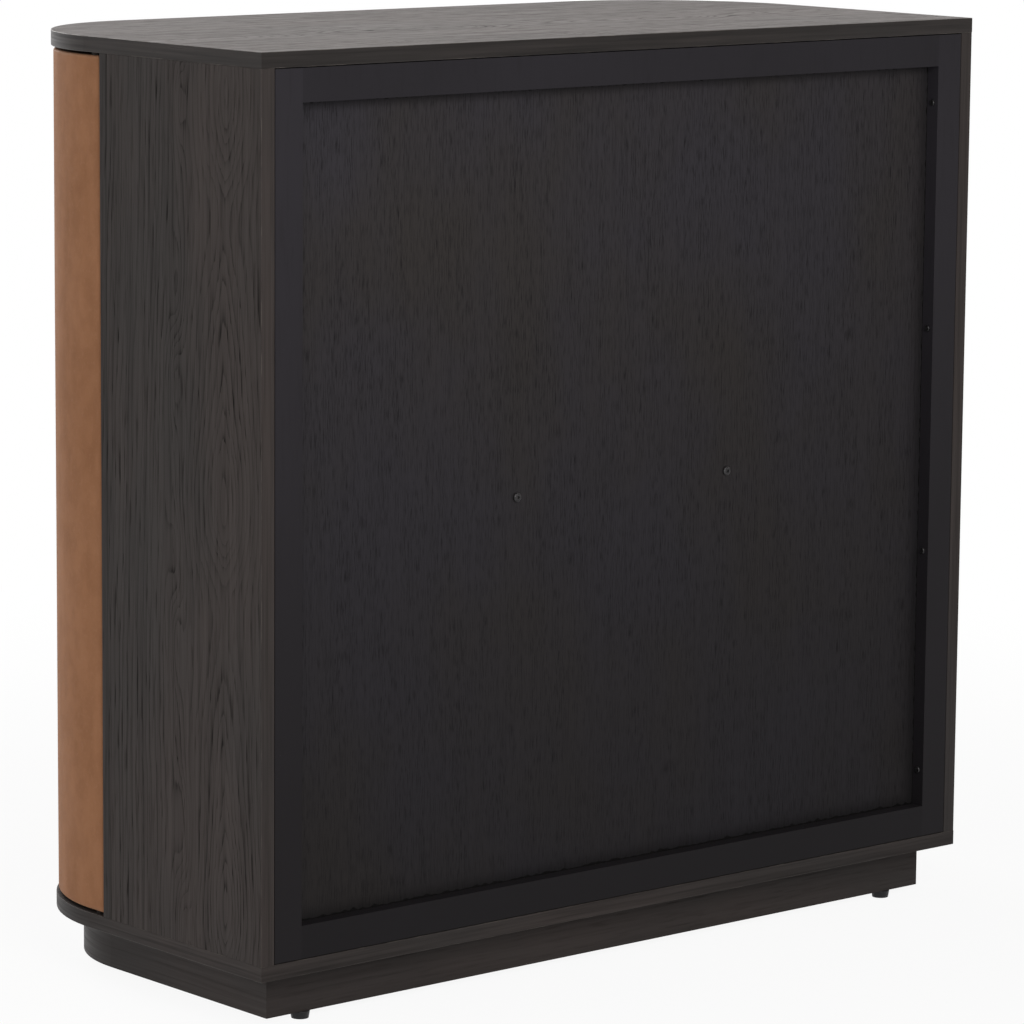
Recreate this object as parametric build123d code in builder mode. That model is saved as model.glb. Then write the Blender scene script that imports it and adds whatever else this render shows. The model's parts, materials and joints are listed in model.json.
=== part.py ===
"""Apothecary cabinet with quarter-round leather doors and a bank of twelve small drawers.

The front faces -Y and +Z is up. The origin is on the floor, under the middle of the cabinet's box.
"Left" and "right" are as seen from the front, so right is +X. All sizes are in millimetres.
"""
import os
from math import acos, degrees

from build123d import *

os.makedirs("parts", exist_ok=True)

# --- Case: driving sizes -------------------------------------------------------------------------
overall_width = 1100
overall_depth = 530  # of the case, without the knobs
overall_height = 1100
glide_height = 9
plinth_height = 53
plinth_inset = 32  # of the plinth's face behind the slabs' edge, all round
plinth_board = 18
slab_thickness = 18
panel_thickness = 18  # side panels and partitions
shelf_thickness = 18  # middle shelf and corner shelves
lipping_width = 12  # solid strip glued to the front edge of each side panel
corner_radius = 200  # of the slabs' two front corners
arris = 0.8  # small rounding of the outer wood edges

# --- Back: a frame in the open back, with a thin panel in front of it ------------------------------
frame_width = 38
frame_thickness = 18
frame_seam = 1  # shadow gap between the frame and the case
back_panel_thickness = 5
back_panel_play = 1  # round the panel's edge

# --- Doors -----------------------------------------------------------------------------------------
door_straight = 30  # flat stretch between the side panel and the round corner
door_thickness = 18
leather_thickness = 1.6
face_inset = 2.5  # of the doors' and drawers' faces behind the slabs' edge
door_gap = 3.5  # above and below the doors and the drawer fronts
seam_gap = 2  # beside the doors
door_end_round = 4  # lets the hinged end turn past the side panel
door_front_round = 2
shelf_to_door = 0.5
pivot_radius = 4
pivot_depth = 10  # in the slabs
pivot_shank = 30  # in the door's core
door_swing_gap = 0.9  # left between a turning door's corner and the side panel
pivot_flange_radius = 7
pivot_end_play = 1  # above a pivot, in its hole
running_clearance = 0.05  # round a pivot
seat_clearance = 0.3  # under a pivot flange or a drawer
door_swing_room = 2  # between a door's hinged end and the corner shelves

# --- Drawer bank -----------------------------------------------------------------------------------
column_names = "abc"
row_names = "1234"  # from the top
board_thickness = 12  # of the boards between the drawers
front_thickness = 18
front_gap = 2.5  # between drawer fronts
front_edge = 1  # chamfer round a drawer front
front_to_case = 1
drawer_play = 1  # each side of a drawer
drawer_headroom = 25
drawer_back_room = 56.5  # between a shut drawer's box and the back panel
drawer_wall = 10
drawer_bottom = 4
bottom_lift = 8
groove_depth = 5

# --- Knobs, screws and glides ----------------------------------------------------------------------
knob_radius = 12
knob_projection = 22.5
knob_rim_height = 16  # of the widest part, above the face
knob_neck_height = 10  # of the neck's upper end
knob_neck_radius = 5.5
knob_waist = 1  # how much the neck narrows towards the rose
knob_rose_radius = 9
knob_rose = 3
knob_stud_radius = 2.5
knob_stud = 13
door_knob_angle = 78  # round the corner from the side, towards the front
stile_screw_count = 4
stile_screw_inset = 84  # of the end screws, from the bottom and top slabs
stile_screw_grip = 12  # in the side panel
back_screw_grip = 25  # in the middle shelf
screw_radius = 2.2
stile_head_radius = 4
stile_head = 2.2
back_head_radius = 5.5
back_head = 3
head_round = 0.6  # of a screw head's height
socket_radius = 2.3
socket_depth = 1.4
glide_bottom_radius = 10
glide_top_radius = 11.5
glide_round = 1
glide_shank_radius = 3
glide_shank = 20
back_glide_inset = 87  # from the cabinet's side
front_glide_offset = 50  # inwards from the round corners' middles

# --- Levels and planes worked out from the sizes above ---------------------------------------------
knob_proud = knob_projection - face_inset
back_y = (overall_depth + knob_proud) / 2
front_y = back_y - overall_depth
middle_y = (front_y + back_y) / 2
side_x = overall_width / 2
plinth_z = glide_height
slab_z = plinth_z + plinth_height
case_z = slab_z + slab_thickness
case_top_z = overall_height - slab_thickness
case_height = case_top_z - case_z

corner_x = side_x - corner_radius  # centre of the right-hand round corner
corner_y = front_y + corner_radius
seam_y = corner_y + door_straight  # front edge of the side panels
inside_x = side_x - panel_thickness  # inner face of a side panel
panel_back_y = back_y - frame_thickness  # rear face of the back panel
panel_front_y = panel_back_y - back_panel_thickness
stile_x = inside_x - frame_seam - frame_width  # inner face of a frame stile
frame_mid_y = back_y - frame_thickness / 2

bank_x = corner_x - seam_gap  # outer face of a partition and outer edge of the drawer fronts
bay_x = bank_x - panel_thickness  # inner face of a partition
face_y = front_y + face_inset
board_front_y = face_y + front_thickness + front_to_case
board_depth = panel_front_y - board_front_y
board_mid_y = (panel_front_y + board_front_y) / 2

middle_shelf_top_z = case_z + case_height / 2
middle_shelf_z = middle_shelf_top_z - shelf_thickness
middle_z = middle_shelf_z + shelf_thickness / 2
front_bottom_z = case_z + door_gap
front_top_z = case_top_z - door_gap
lower_web_z = (front_bottom_z + middle_z) / 2  # middles of the two thin drawer boards
upper_web_z = (front_top_z + middle_z) / 2
half_board = board_thickness / 2
box_front_y = face_y + front_thickness
drawer_depth = panel_front_y - drawer_back_room - box_front_y

column_count = len(column_names)
cell_width = (2 * bay_x - (column_count - 1) * board_thickness) / column_count
cell_pitch = cell_width + board_thickness
front_pitch = (2 * bank_x + front_gap) / column_count
divider_xs = [(i + 1 - column_count / 2) * cell_pitch for i in range(column_count - 1)]
web_zs = [upper_web_z, lower_web_z]
# For each row, from the top: the floor and the ceiling of its cells, then the front's lower and upper edge.
half_gap = front_gap / 2
rows = [
    (upper_web_z + half_board, case_top_z, upper_web_z + half_gap, front_top_z),
    (middle_shelf_top_z, upper_web_z - half_board, middle_z + half_gap, upper_web_z - half_gap),
    (lower_web_z + half_board, middle_shelf_z, lower_web_z + half_gap, middle_z - half_gap),
    (case_z, lower_web_z - half_board, front_bottom_z, lower_web_z - half_gap),
]

door_outer_radius = corner_radius - face_inset
door_inner_radius = door_outer_radius - door_thickness
door_x = corner_x + door_outer_radius
door_end_y = seam_y - seam_gap
door_height = case_height - 2 * door_gap
# The pivot stands just far enough in front of the side panel for the door's rounded corner to turn past it.
rounding_x = door_thickness / 2 - door_end_round
turning_room = (rounding_x**2 + seam_gap**2 - door_swing_gap**2) / (2 * (seam_gap - door_swing_gap))
pivot_setback = door_end_round + turning_room
pivot_x = door_x - door_thickness / 2
pivot_y = seam_y - pivot_setback
pivot_flange = door_gap - seat_clearance

front_glide_inset = corner_radius + front_glide_offset
glide_y = plinth_inset + plinth_board / 2  # from the front or back edge to the middle of a plinth board


def place(shape, location):
    """A copy of a finished shape at a location."""
    return location * shape


def keep(shape, name):
    """Labels a finished sub-part and writes its STEP file."""
    shape.label = name
    export_step(shape, f"parts/{name}.step")


def on_both_sides(right):
    """The right-hand shape and its mirror image on the left."""
    return [("right", right), ("left", mirror(right, about=Plane.YZ))]


# --- Screws, used for their holes too --------------------------------------------------------------
def screw(head_radius, head_height, shank_length):
    """A pan-head screw whose head stands on z = 0, with its shank below."""
    with BuildPart() as made:
        with Locations((0, 0, head_height / 2)):
            Cylinder(head_radius, head_height)
        fillet(made.edges().sort_by(Axis.Z)[-1], head_height * head_round)
        with BuildSketch(Plane.XY.offset(head_height)):
            RegularPolygon(socket_radius, 6)
        extrude(amount=-socket_depth, mode=Mode.SUBTRACT)
        with Locations((0, 0, -shank_length / 2)):
            Cylinder(screw_radius, shank_length)
    return made.part


stile_shank = frame_width + frame_seam + stile_screw_grip
back_shank = back_panel_thickness + back_screw_grip
stile_screw_spacing = (case_height - 2 * stile_screw_inset) / (stile_screw_count - 1)
stile_screw_zs = [case_z + stile_screw_inset + i * stile_screw_spacing for i in range(stile_screw_count)]
stile_screw_places = [
    Location((side * stile_x, frame_mid_y, z), (0, -90 * side, 0))
    for side in (-1, 1)
    for z in stile_screw_zs
]
back_screw_places = [
    Location((side * bay_x / 2, panel_back_y, middle_z), (-90, 0, 0)) for side in (-1, 1)
]

with BuildPart() as screws:
    with Locations(*stile_screw_places):
        add(screw(stile_head_radius, stile_head, stile_shank))
    with Locations(*back_screw_places):
        add(screw(back_head_radius, back_head, back_shank))
keep(screws.part, "screws")

with BuildPart() as screw_holes:
    for x in (-1, 1):
        for z in stile_screw_zs:
            with Locations((x * (stile_x + stile_shank / 2), frame_mid_y, z)):
                Cylinder(screw_radius, stile_shank, rotation=(0, 90, 0))
        with Locations((x * bay_x / 2, panel_back_y - back_shank / 2, middle_z)):
            Cylinder(screw_radius, back_shank, rotation=(90, 0, 0))


# --- Slabs, with the holes that the door pivots turn in --------------------------------------------
def slab(bottom_z, hole_face_z, hole_direction):
    """The top or bottom board: square at the back, round at the two front corners."""
    with BuildPart() as made:
        with BuildSketch(Plane.XY.offset(bottom_z)) as outline:
            with Locations((0, middle_y)):
                Rectangle(overall_width, overall_depth)
            fillet(outline.vertices().group_by(Axis.Y)[0], corner_radius)
        extrude(amount=slab_thickness)
        fillet(made.edges().filter_by(Axis.Z, reverse=True), arris)
        hole_z = hole_face_z + hole_direction * pivot_depth / 2
        with Locations(*[(x * pivot_x, pivot_y, hole_z) for x in (-1, 1)]):
            Cylinder(pivot_radius + running_clearance, pivot_depth, mode=Mode.SUBTRACT)
    return made.part


keep(slab(case_top_z, case_top_z, 1), "top_slab")
keep(slab(slab_z, case_z, -1), "bottom_slab")

# --- Side panels ---------------------------------------------------------------------------------
# Each is a veneered panel with a solid lipping on the edge that the door shuts against.
def side_board(low_y, high_y):
    """The part of the right-hand side panel between two planes across its depth."""
    with BuildPart() as made:
        with BuildSketch(Plane.XY.offset(case_z)):
            with Locations((side_x - panel_thickness / 2, (low_y + high_y) / 2)):
                Rectangle(panel_thickness, high_y - low_y)
        extrude(amount=case_height)
    return made


side_lipping = side_board(seam_y, seam_y + lipping_width)
side_veneered = side_board(seam_y + lipping_width, back_y)
with side_lipping:
    fillet(side_lipping.edges().filter_by(Axis.Z).group_by(Axis.X)[-1].sort_by(Axis.Y)[0], arris)
with side_veneered:
    fillet(side_veneered.edges().filter_by(Axis.Z).group_by(Axis.X)[-1].sort_by(Axis.Y)[-1], arris)
    add(screw_holes.part, mode=Mode.SUBTRACT)
side_panel = Compound([*side_veneered.part.solids(), *side_lipping.part.solids()])
for side, shape in on_both_sides(side_panel):
    keep(shape, f"side_panel_{side}")

# --- Back frame and back panel ---------------------------------------------------------------------
frame_height = case_height - 2 * frame_seam
case_mid_z = case_z + case_height / 2
with BuildPart() as frame_stiles:
    with Locations(*[(x * (stile_x + frame_width / 2), frame_mid_y, case_mid_z) for x in (-1, 1)]):
        Box(frame_width, frame_thickness, frame_height)
    add(screw_holes.part, mode=Mode.SUBTRACT)
keep(frame_stiles.part, "frame_stiles")

rail_offset = frame_height / 2 - frame_width / 2
with BuildPart() as frame_rails:
    with Locations(*[(0, frame_mid_y, case_mid_z + z * rail_offset) for z in (-1, 1)]):
        Box(2 * stile_x, frame_thickness, frame_width)
keep(frame_rails.part, "frame_rails")

with BuildPart() as back_panel:
    with Locations((0, panel_back_y - back_panel_thickness / 2, case_mid_z)):
        Box(2 * (inside_x - back_panel_play), back_panel_thickness, case_height - 2 * back_panel_play)
    add(screw_holes.part, mode=Mode.SUBTRACT)
keep(back_panel.part, "back_panel")

# --- Fixed boards inside the case ------------------------------------------------------------------
with BuildPart() as partition:
    with Locations(((bay_x + bank_x) / 2, board_mid_y, case_mid_z)):
        Box(panel_thickness, board_depth, case_height)
for side, shape in on_both_sides(partition.part):
    keep(shape, f"partition_{side}")

with BuildPart() as middle_shelf:
    with Locations((0, board_mid_y, middle_z)):
        Box(2 * bay_x, board_depth, shelf_thickness)
    add(screw_holes.part, mode=Mode.SUBTRACT)
keep(middle_shelf.part, "middle_shelf")

# The thin boards cross in halving joints: the webs are slotted from the back, the dividers from the front.
crossings = [(x, z) for x in divider_xs for z in web_zs]
with BuildPart() as drawer_webs:
    with Locations(*[(0, board_mid_y, z) for z in web_zs]):
        Box(2 * bay_x, board_depth, board_thickness)
    with Locations(*[(x, panel_front_y - board_depth / 4, z) for x, z in crossings]):
        Box(board_thickness, board_depth / 2, board_thickness, mode=Mode.SUBTRACT)
keep(drawer_webs.part, "drawer_webs")

divider_spans = [(case_z, middle_shelf_z), (middle_shelf_top_z, case_top_z)]
with BuildPart() as column_dividers:
    for low, high in divider_spans:
        with Locations(*[(x, board_mid_y, (low + high) / 2) for x in divider_xs]):
            Box(board_thickness, board_depth, high - low)
    with Locations(*[(x, board_front_y + board_depth / 4, z) for x, z in crossings]):
        Box(board_thickness, board_depth / 2, board_thickness, mode=Mode.SUBTRACT)
keep(column_dividers.part, "column_dividers")

# The corner shelves follow the doors, and are cut back where a door's hinged end turns.
shelf_radius = door_inner_radius - shelf_to_door
pivot_reach = ((door_thickness / 2) ** 2 + (pivot_setback - seam_gap) ** 2) ** 0.5
notch_x = pivot_x - pivot_reach - door_swing_room
with BuildSketch() as corner_shelf_plan:
    with Locations((corner_x, corner_y)):
        Circle(shelf_radius)
    with Locations(((bank_x + notch_x) / 2, seam_y - corner_radius / 2)):
        Rectangle(notch_x - bank_x, corner_radius + 2 * door_straight, mode=Mode.INTERSECT)
    with Locations(((bank_x + inside_x) / 2, (seam_y + panel_front_y) / 2)):
        Rectangle(inside_x - bank_x, panel_front_y - seam_y)
    with Locations(((bank_x + notch_x) / 2, (seam_y + corner_y) / 2)):
        Rectangle(notch_x - bank_x, door_straight)
with BuildPart() as corner_shelves:
    for z in (lower_web_z, middle_z, upper_web_z):
        with BuildSketch(Plane.XY.offset(z - shelf_thickness / 2)):
            add(corner_shelf_plan.sketch)
        extrude(amount=shelf_thickness)
    mirror(about=Plane.YZ)
keep(corner_shelves.part, "corner_shelves")

# --- Plinth: four straight boards and two bent corner pieces ---------------------------------------
plinth_x = side_x - plinth_inset
plinth_radius = corner_radius - plinth_inset
plinth_level = Plane.XY.offset(plinth_z)
plinth_back_y = back_y - plinth_inset - plinth_board  # front face of the back board


def long_board(length, middle_y, glide_inset):
    """The back or the front board, standing on its edge, with a hole for each of its two glides."""
    with BuildPart() as made:
        with BuildSketch(plinth_level):
            with Locations((0, middle_y)):
                Rectangle(length, plinth_board)
        extrude(amount=plinth_height)
        hole_z = plinth_z + glide_shank / 2
        with Locations(*[(x * (side_x - glide_inset), middle_y, hole_z) for x in (-1, 1)]):
            Cylinder(glide_shank_radius, glide_shank, mode=Mode.SUBTRACT)
    return made


plinth_back = long_board(2 * plinth_x, back_y - glide_y, back_glide_inset)
with plinth_back:
    fillet(plinth_back.edges().filter_by(Axis.Z).group_by(Axis.Y)[-1], arris)
plinth_front = long_board(2 * corner_x, front_y + glide_y, front_glide_inset)
with BuildPart() as plinth_side:
    with BuildSketch(plinth_level):
        with Locations((plinth_x - plinth_board / 2, (plinth_back_y + corner_y) / 2)):
            Rectangle(plinth_board, plinth_back_y - corner_y)
    extrude(amount=plinth_height)
with BuildPart() as plinth_corner:
    with BuildSketch(plinth_level):
        with Locations((corner_x, corner_y)):
            Circle(plinth_radius)
            Circle(plinth_radius - plinth_board, mode=Mode.SUBTRACT)
        with Locations((corner_x + plinth_radius / 2, corner_y - plinth_radius / 2)):
            Rectangle(plinth_radius, plinth_radius, mode=Mode.INTERSECT)
    extrude(amount=plinth_height)

plinth_pieces = [plinth_back.part, plinth_front.part]
for right_piece in (plinth_side.part, plinth_corner.part):
    plinth_pieces += [shape for side, shape in on_both_sides(right_piece)]
keep(Compound([solid for piece in plinth_pieces for solid in piece.solids()]), "plinth")

# --- Glides: tapered feet pressed into the plinth's lower edge --------------------------------------
with BuildPart() as glide:
    with BuildSketch(Plane.XZ) as glide_profile:
        with BuildLine():
            Polyline(
                (0, 0),
                (glide_bottom_radius, 0),
                (glide_top_radius, glide_height),
                (glide_shank_radius, glide_height),
                (glide_shank_radius, glide_height + glide_shank),
                (0, glide_height + glide_shank),
                close=True,
            )
        make_face()
        fillet(glide_profile.vertices().group_by(Axis.Z)[0].sort_by(Axis.X)[-1], glide_round)
    revolve(axis=Axis.Z)
with BuildPart() as glides:
    for x in (-1, 1):
        with Locations((x * (side_x - back_glide_inset), back_y - glide_y)):
            add(glide.part)
        with Locations((x * (side_x - front_glide_inset), front_y + glide_y)):
            add(glide.part)
keep(glides.part, "glides")


# --- Knobs -----------------------------------------------------------------------------------------
# The turned knob points along +Z, with its rose on z = 0 and its stud below.
with BuildPart() as knob:
    with BuildSketch(Plane.XZ):
        with BuildLine():
            crown_start = (knob_neck_radius, knob_neck_height)
            rim = (knob_radius, knob_rim_height)
            Polyline(
                crown_start,
                (knob_neck_radius - knob_waist, knob_rose + knob_waist),
                (knob_rose_radius - knob_waist, knob_rose),
                (knob_rose_radius, knob_rose - knob_waist),
                (knob_rose_radius, 0),
                (knob_stud_radius, 0),
                (knob_stud_radius, -knob_stud),
                (0, -knob_stud),
                (0, knob_projection),
            )
            Spline(crown_start, rim, (0, knob_projection), tangents=[(1, 0.25), (-1, 0)])
        make_face()
    revolve(axis=Axis.Z)


def stud_hole(location):
    """A blind hole for a knob's stud, for a face at the location."""
    hole = Cylinder(knob_stud_radius, knob_stud, mode=Mode.PRIVATE)
    return place(hole, location * Pos(0, 0, -knob_stud / 2))


# --- Doors: a bent core with leather over its face and edges ----------------------------------------
def door_plan(inset):
    """The right-hand door seen from above, with its face and both ends moved in by an inset."""
    middle = (corner_x, corner_y)
    outer = door_outer_radius - inset
    end_y = door_end_y - inset
    with BuildSketch() as plan:
        with BuildLine():
            face = Line((corner_x + outer, end_y), (corner_x + outer, corner_y))
            face_bend = CenterArc(middle, outer, 0, -degrees(acos(inset / outer)))
            inner_bend = CenterArc(middle, door_inner_radius, 0, -degrees(acos(inset / door_inner_radius)))
            lining = Line(inner_bend @ 0, (corner_x + door_inner_radius, end_y))
            Line(face @ 0, lining @ 1)
            Line(face_bend @ 1, inner_bend @ 1)
        make_face()
        fillet(plan.vertices().group_by(Axis.Y)[-1].sort_by(Axis.X)[-1], door_end_round - inset)
        fillet(plan.vertices().group_by(Axis.Y)[0].sort_by(Axis.X)[0], door_front_round - inset)
    return plan.sketch


door_axis = Pos(corner_x, corner_y, middle_z) * Rot(0, 0, -door_knob_angle)
door_knob_place = door_axis * Pos(door_outer_radius, 0, 0) * Rot(0, 90, 0)
skin_z = front_bottom_z + leather_thickness
skin_height = door_height - 2 * leather_thickness
pivot_levels = [(front_bottom_z, -1), (front_top_z, 1)]  # a door's lower and upper edge, and the way out

with BuildPart() as pivots:
    for level, out in pivot_levels:
        with Locations((pivot_x, pivot_y, level + out * pivot_flange / 2)):
            Cylinder(pivot_flange_radius, pivot_flange)
        pin_length = pivot_depth + door_gap + pivot_shank - pivot_end_play
        with Locations((pivot_x, pivot_y, level + out * (pin_length / 2 - pivot_shank))):
            Cylinder(pivot_radius, pin_length)

with BuildPart() as pivot_bores:
    for level, out in pivot_levels:
        with Locations((pivot_x, pivot_y, level - out * pivot_shank / 2)):
            Cylinder(pivot_radius, pivot_shank)

with BuildPart() as door_core:
    with BuildSketch(Plane.XY.offset(skin_z)):
        add(door_plan(leather_thickness))
    extrude(amount=skin_height)
    add(pivot_bores.part, mode=Mode.SUBTRACT)
    add(stud_hole(door_knob_place), mode=Mode.SUBTRACT)

with BuildPart() as door_leather:
    with BuildSketch(Plane.XY.offset(front_bottom_z)):
        add(door_plan(0))
    extrude(amount=door_height)
    with BuildSketch(Plane.XY.offset(skin_z)):
        add(door_plan(leather_thickness))
    extrude(amount=skin_height, mode=Mode.SUBTRACT)
    add(pivot_bores.part, mode=Mode.SUBTRACT)
    add(stud_hole(door_knob_place), mode=Mode.SUBTRACT)

door_pieces = {
    "core": door_core.part,
    "leather": door_leather.part,
    "pivots": pivots.part,
    "knob": place(knob.part, door_knob_place),
}
for piece_name, right_piece in door_pieces.items():
    for side, shape in on_both_sides(right_piece):
        keep(shape, f"door_{side}_{piece_name}")


# --- Drawers: a box of four walls and a loose bottom, a front and a knob -----------------------------
def drawer_box(middle_x, floor_z, ceiling_z):
    """The walls and the bottom of one drawer, as five separate boards."""
    width = cell_width - 2 * drawer_play
    height = ceiling_z - floor_z - drawer_headroom
    low_z = floor_z + seat_clearance
    mid_z = low_z + height / 2
    mid_y = box_front_y + drawer_depth / 2
    inner_width = width - 2 * drawer_wall
    bottom_z = low_z + bottom_lift + drawer_bottom / 2
    bottom_width = inner_width + 2 * groove_depth
    bottom_depth = drawer_depth - 2 * (drawer_wall - groove_depth)
    with BuildPart() as bottom:
        with Locations((middle_x, mid_y, bottom_z)):
            Box(bottom_width, bottom_depth, drawer_bottom)
    with BuildPart() as walls:
        with Locations(*[(middle_x + x * (width - drawer_wall) / 2, mid_y, mid_z) for x in (-1, 1)]):
            Box(drawer_wall, drawer_depth, height)
        add(bottom.part, mode=Mode.SUBTRACT)
    with BuildPart() as ends:
        with Locations(*[(middle_x, mid_y + y * (drawer_depth - drawer_wall) / 2, mid_z) for y in (-1, 1)]):
            Box(inner_width, drawer_wall, height)
        add(bottom.part, mode=Mode.SUBTRACT)
    return Compound([*walls.part.solids(), *ends.part.solids(), *bottom.part.solids()])


def drawer_front(middle_x, low_z, high_z, knob_place):
    """One drawer front, chamfered round its face, with the hole for the knob's stud."""
    with BuildPart() as made:
        with Locations((middle_x, face_y + front_thickness / 2, (low_z + high_z) / 2)):
            Box(front_pitch - front_gap, front_thickness, high_z - low_z)
        chamfer(made.faces().sort_by(Axis.Y)[0].edges(), front_edge)
        add(stud_hole(knob_place), mode=Mode.SUBTRACT)
    return made.part


for column, column_name in enumerate(column_names):
    column_offset = column - (column_count - 1) / 2
    for row_name, (floor_z, ceiling_z, low_z, high_z) in zip(row_names, rows):
        drawer = f"drawer_{column_name}{row_name}"
        front_x = column_offset * front_pitch
        knob_place = Pos(front_x, face_y, (low_z + high_z) / 2) * Rot(90, 0, 0)
        keep(drawer_box(column_offset * cell_pitch, floor_z, ceiling_z), f"{drawer}_box")
        keep(drawer_front(front_x, low_z, high_z, knob_place), f"{drawer}_front")
        keep(place(knob.part, knob_place), f"{drawer}_knob")
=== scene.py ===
# %% [markdown]
# # An apothecary cabinet, seen from behind
#
# The cabinet is a case of dark-stained oak with two round, leather-covered doors at its front corners,
# twelve small drawers between them, and an open back that holds a black frame and a thin black panel. The
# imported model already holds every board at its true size. This lesson gives each one its finish, makes the
# leather and the dried glue as meshes of their own, and sets up the light and the camera.

import json
import math
import random
from collections import namedtuple

import bmesh
import bpy
from mathutils import Matrix, Vector

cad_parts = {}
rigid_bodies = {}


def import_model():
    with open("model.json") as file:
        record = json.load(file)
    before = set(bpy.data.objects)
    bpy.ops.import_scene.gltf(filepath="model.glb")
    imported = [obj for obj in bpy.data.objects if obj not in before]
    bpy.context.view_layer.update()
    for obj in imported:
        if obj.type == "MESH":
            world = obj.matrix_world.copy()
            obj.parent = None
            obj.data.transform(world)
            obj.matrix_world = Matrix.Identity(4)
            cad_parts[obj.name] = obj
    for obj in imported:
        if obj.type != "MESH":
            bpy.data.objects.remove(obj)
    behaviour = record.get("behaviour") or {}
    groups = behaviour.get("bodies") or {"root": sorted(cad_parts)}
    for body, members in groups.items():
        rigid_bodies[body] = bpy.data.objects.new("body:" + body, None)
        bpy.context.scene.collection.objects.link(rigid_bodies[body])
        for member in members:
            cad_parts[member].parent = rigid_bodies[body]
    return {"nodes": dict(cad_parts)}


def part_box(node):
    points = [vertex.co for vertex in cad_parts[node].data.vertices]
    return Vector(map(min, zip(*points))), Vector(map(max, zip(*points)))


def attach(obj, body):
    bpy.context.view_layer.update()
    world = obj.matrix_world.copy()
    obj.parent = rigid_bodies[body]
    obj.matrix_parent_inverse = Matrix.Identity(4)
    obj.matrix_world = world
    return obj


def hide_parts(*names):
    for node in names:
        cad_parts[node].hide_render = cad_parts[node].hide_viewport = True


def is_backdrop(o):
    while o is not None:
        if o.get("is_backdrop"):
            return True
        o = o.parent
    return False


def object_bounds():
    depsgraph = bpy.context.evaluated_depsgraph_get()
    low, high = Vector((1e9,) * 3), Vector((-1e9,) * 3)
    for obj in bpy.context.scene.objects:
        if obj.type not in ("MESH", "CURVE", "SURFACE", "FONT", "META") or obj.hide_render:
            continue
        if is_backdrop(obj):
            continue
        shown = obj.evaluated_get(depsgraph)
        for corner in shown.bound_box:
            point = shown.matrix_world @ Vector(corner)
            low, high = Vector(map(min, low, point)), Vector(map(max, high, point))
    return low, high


for leftover in list(bpy.data.objects):
    bpy.data.objects.remove(leftover)
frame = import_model()
nodes = frame["nodes"]
cad_low, cad_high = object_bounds()

# %% [markdown]
# ## The sizes that the looks depend on
#
# A finish often has to know where a board ends: the paint darkens towards the foot, and the lipping starts
# 12 mm from the front. Typed numbers would go wrong as soon as the model changes, so the places are read
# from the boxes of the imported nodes.

# %% Read the boards' places
MM = 0.001
seam_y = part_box("side_panel_right")[0].y
panel_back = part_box("back_panel")[1].y
plinth_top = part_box("plinth")[1].z
rails_low, rails_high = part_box("frame_rails")
opening_x = rails_high.x
frame_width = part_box("frame_stiles")[1].x - opening_x
recess_low = rails_low.z + frame_width
recess_high = rails_high.z - frame_width
print("recess", round(2 * opening_x, 3), "m wide,", round(recess_high - recess_low, 3), "m high")


# %% [markdown]
# ## Shader maths as plain expressions
#
# A procedural finish is a graph of nodes, and a graph is hard to read as code. A small class helps: `Wire`
# stands for one output of a node, and writing `a * 2 + b` or `1 - a` with wires adds the Math nodes. `rise`
# is the step that turns soft noise into patches: 0 below one value, 1 above another, smooth between.

# %% A wire between nodes
class Wire:
    """One output of a node. Arithmetic on it adds Math nodes to its finish."""

    def __init__(self, finish, socket):
        self.finish = finish
        self.socket = socket

    def __add__(self, other):
        return self.finish.math("ADD", self, other)

    def __sub__(self, other):
        return self.finish.math("SUBTRACT", self, other)

    def __rsub__(self, other):
        return self.finish.math("SUBTRACT", other, self)

    def __mul__(self, other):
        return self.finish.math("MULTIPLY", self, other)

    def __truediv__(self, other):
        return self.finish.math("DIVIDE", self, other)

    def __rtruediv__(self, other):
        return self.finish.math("DIVIDE", other, self)

    def __pow__(self, other):
        return self.finish.math("POWER", self, other)

    def __abs__(self):
        return self.finish.math("ABSOLUTE", self)

    __radd__ = __add__
    __rmul__ = __mul__

    def sine(self):
        return self.finish.math("SINE", self)

    def fract(self):
        return self.finish.math("FRACT", self)

    def largest(self, other):
        return self.finish.math("MAXIMUM", self, other)

    def rise(self, low, high):
        """0 below low, 1 above high, and a smooth step between them."""
        settings = {"interpolation_type": "SMOOTHSTEP"}
        limits = {"Value": self, "From Min": low, "From Max": high}
        return self.finish.node("ShaderNodeMapRange", settings, limits)


print("Wire is ready")


# %% [markdown]
# ## One finish, one graph
#
# `Finish` owns the graph of one material, or of the world. Its method `node` adds any node from its type,
# its settings, and the values or wires of its inputs, and the other methods are built on it. Colours are
# blended by a Mix node, as a Math node would turn them grey. Noise is read from the place on the object in
# metres, so it runs unbroken over neighbouring boards and needs no unwrapping. Its scale is given apart for
# x, y and z, because wood, brushed paint and stretched hide all have a direction.

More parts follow.
